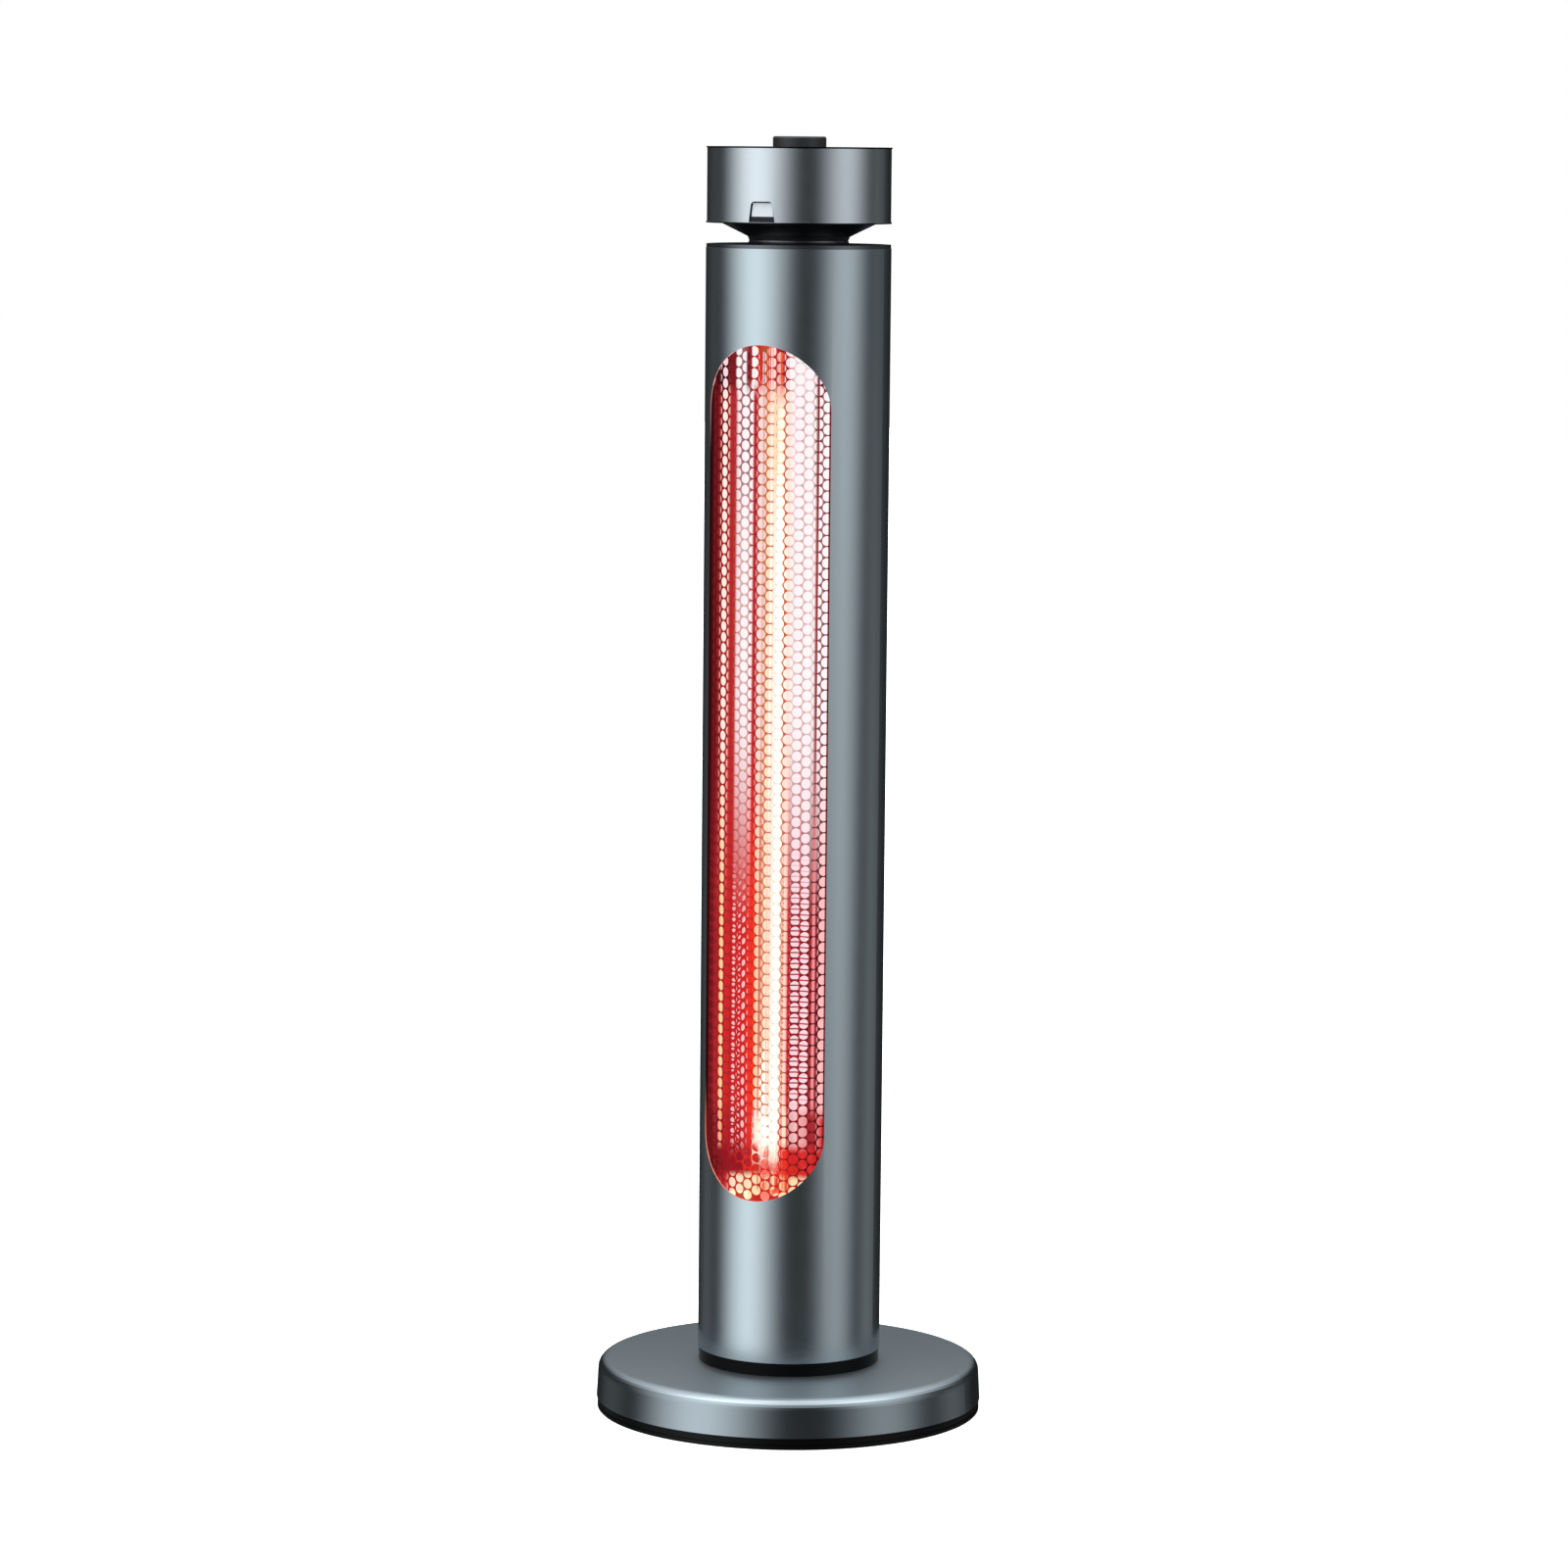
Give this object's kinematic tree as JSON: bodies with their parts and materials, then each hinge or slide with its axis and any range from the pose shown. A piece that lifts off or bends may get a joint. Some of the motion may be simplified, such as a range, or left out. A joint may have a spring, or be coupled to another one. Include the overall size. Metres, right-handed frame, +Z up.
{
  "type": "infrared heater",
  "caption": "Oscillating tower infrared heater: round weighted base, swivelling tube column with a honeycomb guard over a quartz lamp, and a drum-shaped control head.",
  "frame": {"origin": "centre of the face on which the base stands", "axes": "+Z up along the column, -Y towards the front, where the window and the sensor pocket are"},
  "size_m": [0.264, 0.264, 0.8695],
  "materials": {
    "body_metal": "satin gunmetal lacquer",
    "foot_rubber": "matt black",
    "black_gloss": "gloss black",
    "black_satin": "satin black",
    "button_plastic": "matt dark grey",
    "cap_metal": "satin black lacquer",
    "guard_metal": "satin dark enamel",
    "mirror_sheet": "polished",
    "shield_sheet": "mill finish",
    "steel": "zinc plated",
    "cast_iron": "as cast",
    "quartz": "clear ruby-tinted quartz",
    "filament": "glowing wire",
    "ceramic": "matt glazed",
    "nylon": "natural",
    "wire": "silicone sleeve",
    "board": "solder mask",
    "relay": "gloss",
    "diffuser": "translucent white",
    "lens": "dark tinted"
  },
  "bodies": {
    "base": {"base_cover": "body_metal", "base_ballast": "cast_iron", "base_plate": "steel", "foot_ring": "foot_rubber", "base_screws": "steel", "cord_gland": "foot_rubber", "terminal_block": "nylon", "tilt_switch": "black_satin", "plunger_spring": "steel", "swivel_spindle": "steel", "spindle_nut": "steel", "spindle_clip": "steel", "fixed_gear": "nylon", "glide_ring": "nylon", "supply_leads": "wire"},
    "column": {"turntable_plate": "shield_sheet", "collar_ring": "black_gloss", "swivel_motor": "steel", "column_tube": "body_metal", "lower_bulkhead": "steel", "upper_bulkhead": "steel", "tie_rods": "steel", "tie_rod_nuts": "steel", "side_rail_left": "cap_metal", "side_rail_right": "cap_metal", "front_grille": "guard_metal", "reflector": "mirror_sheet", "reflector_bottom_plate": "mirror_sheet", "reflector_top_plate": "mirror_sheet", "heat_shield": "shield_sheet", "quartz_tube": "quartz", "filament_left": "filament", "filament_right": "filament", "lamp_base_lower": "ceramic", "lamp_base_upper": "ceramic", "thermal_cutout": "black_satin", "wiring_loom": "wire", "column_cap": "cap_metal", "column_screws": "steel", "neck": "black_satin", "neck_screws": "steel", "head_shell": "body_metal", "head_top_plate": "black_satin", "head_screws": "steel", "control_board": "board", "board_standoffs": "steel", "power_relays": "relay", "heat_sink": "shield_sheet", "button_switch": "black_satin", "button_spring": "steel", "sensor_window": "diffuser", "receiver_lens": "lens"},
    "tip_plunger": {"tip_plunger": "nylon"},
    "drive_pinion": {"drive_pinion": "nylon"},
    "push_button": {"push_button": "button_plastic"}
  },
  "joints": [
    {"name": "column_swivel", "type": "hinge", "parent": "base", "child": "column", "pos_m": [0, 0, 0.0485], "axis": [0, 0, 1], "range_deg": [-35, 35]},
    {"name": "pinion_spin", "type": "hinge", "parent": "column", "child": "drive_pinion", "pos_m": [0, 0.0375, 0.04], "axis": [0, 0, 1], "range_deg": [-141, 141]},
    {"name": "button_press", "type": "slide", "parent": "column", "child": "push_button", "axis": [0, 0, -1], "range_m": [0, 0.002], "stiffness_N_per_m": 300, "springref_m": -0.002, "deforming": ["button_spring"]},
    {"name": "plunger_drop", "type": "slide", "parent": "base", "child": "tip_plunger", "axis": [0, 0, -1], "range_m": [0, 0.004], "stiffness_N_per_m": 40, "springref_m": 0.006, "deforming": ["plunger_spring"]}
  ],
  "couplings": [
    {"joint": "pinion_spin", "follows": "column_swivel", "ratio": 4}
  ]
}
